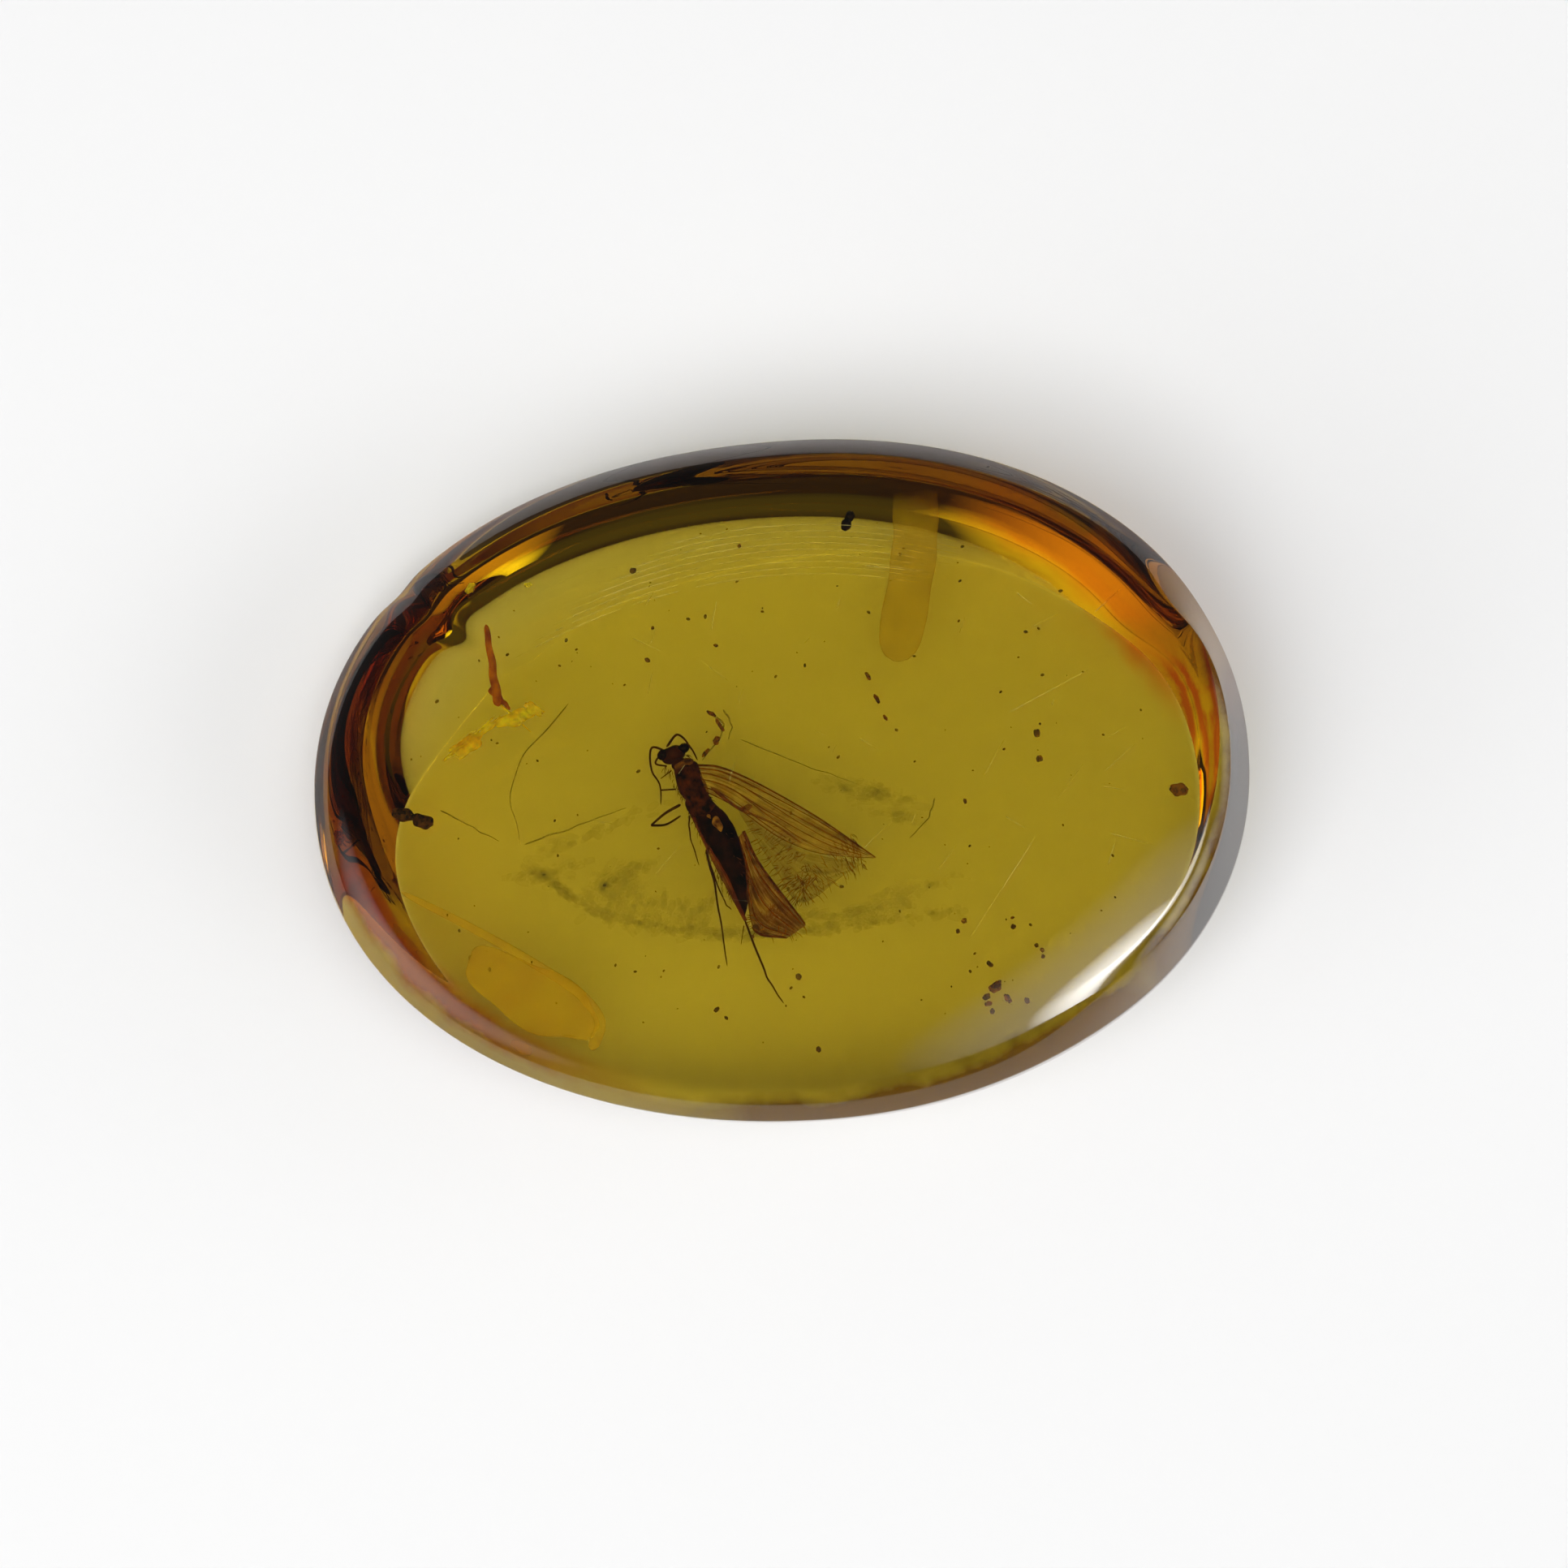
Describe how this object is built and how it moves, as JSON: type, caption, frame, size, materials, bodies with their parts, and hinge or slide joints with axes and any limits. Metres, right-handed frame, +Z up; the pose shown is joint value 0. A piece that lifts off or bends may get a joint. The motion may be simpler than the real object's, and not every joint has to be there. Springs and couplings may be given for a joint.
{
  "type": "insect in amber",
  "caption": "Polished oval piece of see-through amber with a small winged insect sealed inside, lying on its flat underside",
  "frame": {"origin": "bottom centre of the bounding box, on the ground", "axes": "+X along the stone's long axis, towards its crisp-edged right end; +Y away from the viewer; +Z up through the thickness"},
  "size_m": [0.024, 0.0176, 0.0062],
  "materials": {
    "amber": "clear olive-gold fossil resin, hand polished, faint scratches",
    "insect_body": "dark red-brown insect body, legs and feelers sealed in the resin",
    "insect_wing": "thin brown wings with darker veins",
    "debris": "dark specks, pellets and bits of bark sealed in the resin",
    "flaw": "paler streaks, flakes, clouds and flow lines inside the resin"
  },
  "bodies": {
    "root": {"amber": "amber"}
  },
  "joints": []
}
